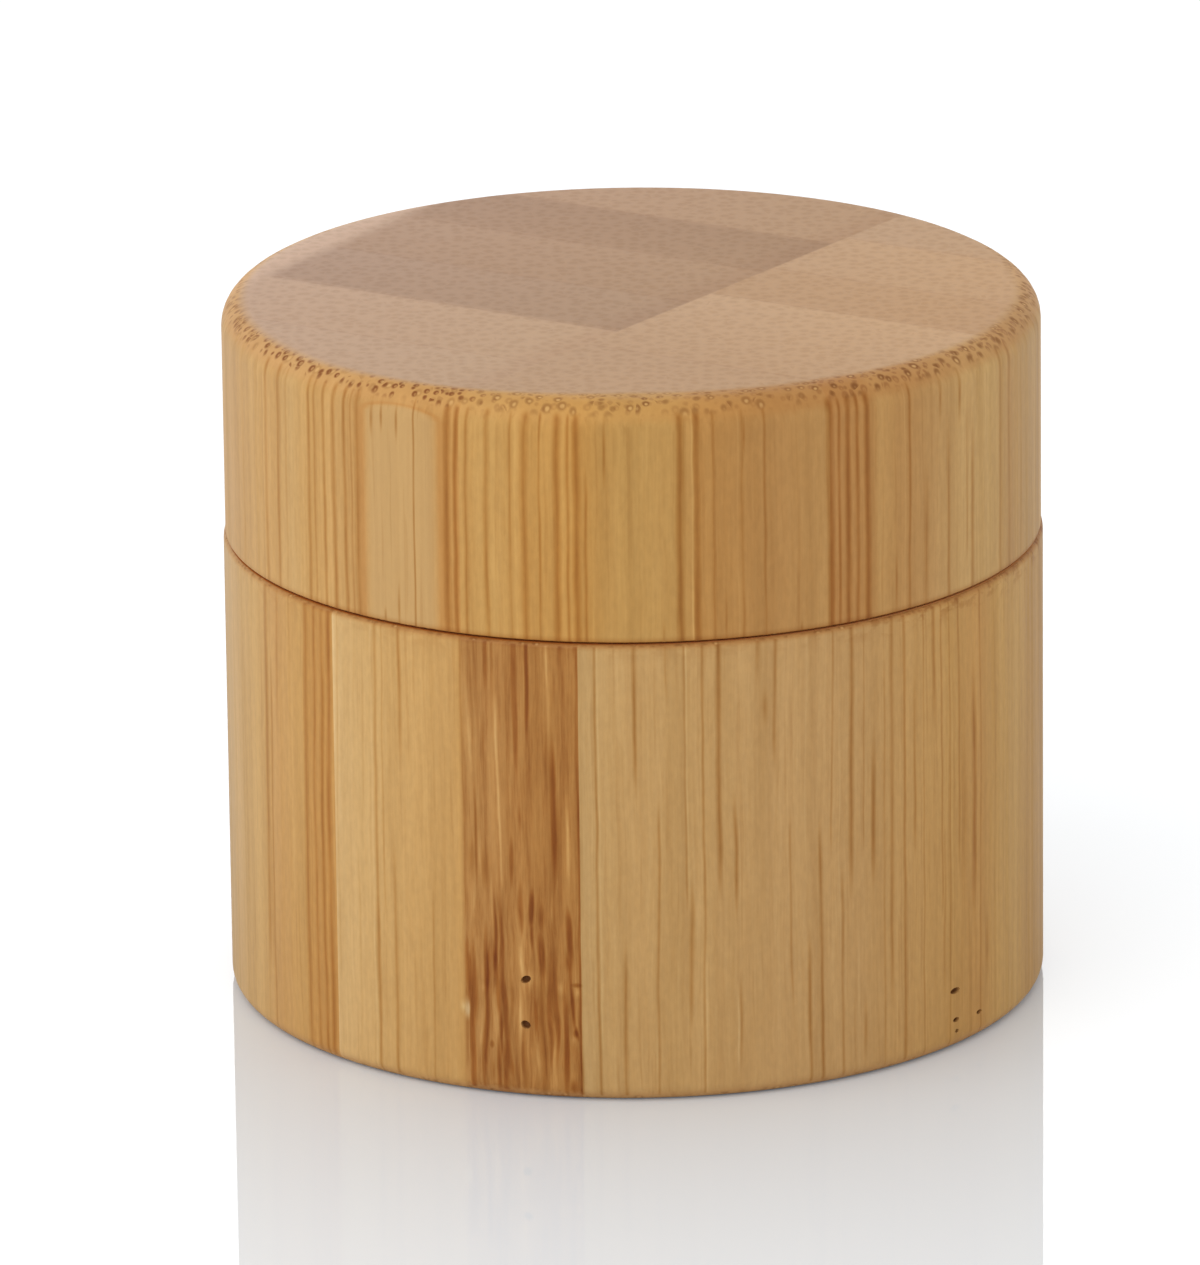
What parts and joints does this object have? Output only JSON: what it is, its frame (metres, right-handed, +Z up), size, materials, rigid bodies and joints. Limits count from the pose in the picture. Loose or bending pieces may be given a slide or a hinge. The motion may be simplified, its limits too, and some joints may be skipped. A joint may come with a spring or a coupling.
{
  "type": "bamboo jar",
  "caption": "Small round bamboo cosmetic jar: laminated bamboo body and screw lid over a white moulded cup, with a sealing disc and a foam liner inside",
  "frame": {"origin": "the centre of the flat base, on the jar's axis, at the height of the surface that it stands on", "axes": "+Z up the jar's axis, +Y away from the picture's viewer, +X to the viewer's right"},
  "size_m": [0.044, 0.044, 0.0382],
  "materials": {
    "body_bamboo": "matte",
    "cup_plastic": "satin",
    "disc_plastic": "satin",
    "liner_foam": "matte",
    "cap_plastic": "satin",
    "lid_bamboo": "matte"
  },
  "bodies": {
    "jar": {"bamboo_body": "body_bamboo", "inner_cup": "cup_plastic"},
    "disc": {"sealing_disc": "disc_plastic"},
    "wad": {"liner": "liner_foam"},
    "lid": {"bamboo_lid": "lid_bamboo", "inner_cap": "cap_plastic"}
  },
  "joints": [
    {"name": "lid_lift", "type": "slide", "parent": "jar", "child": "disc", "axis": [0, 0, 1], "range_m": [0, 0.045]},
    {"name": "lid_rise", "type": "slide", "parent": "disc", "child": "wad", "axis": [0, 0, 1], "range_m": [0, 0.00375]},
    {"name": "lid_turn", "type": "hinge", "parent": "wad", "child": "lid", "pos_m": [0, 0, 0.0255], "axis": [0, 0, 1], "range_deg": [0, 450]}
  ],
  "couplings": [
    {"joint": "lid_rise", "follows": "lid_turn", "m_per_rad": 0.00047746}
  ]
}
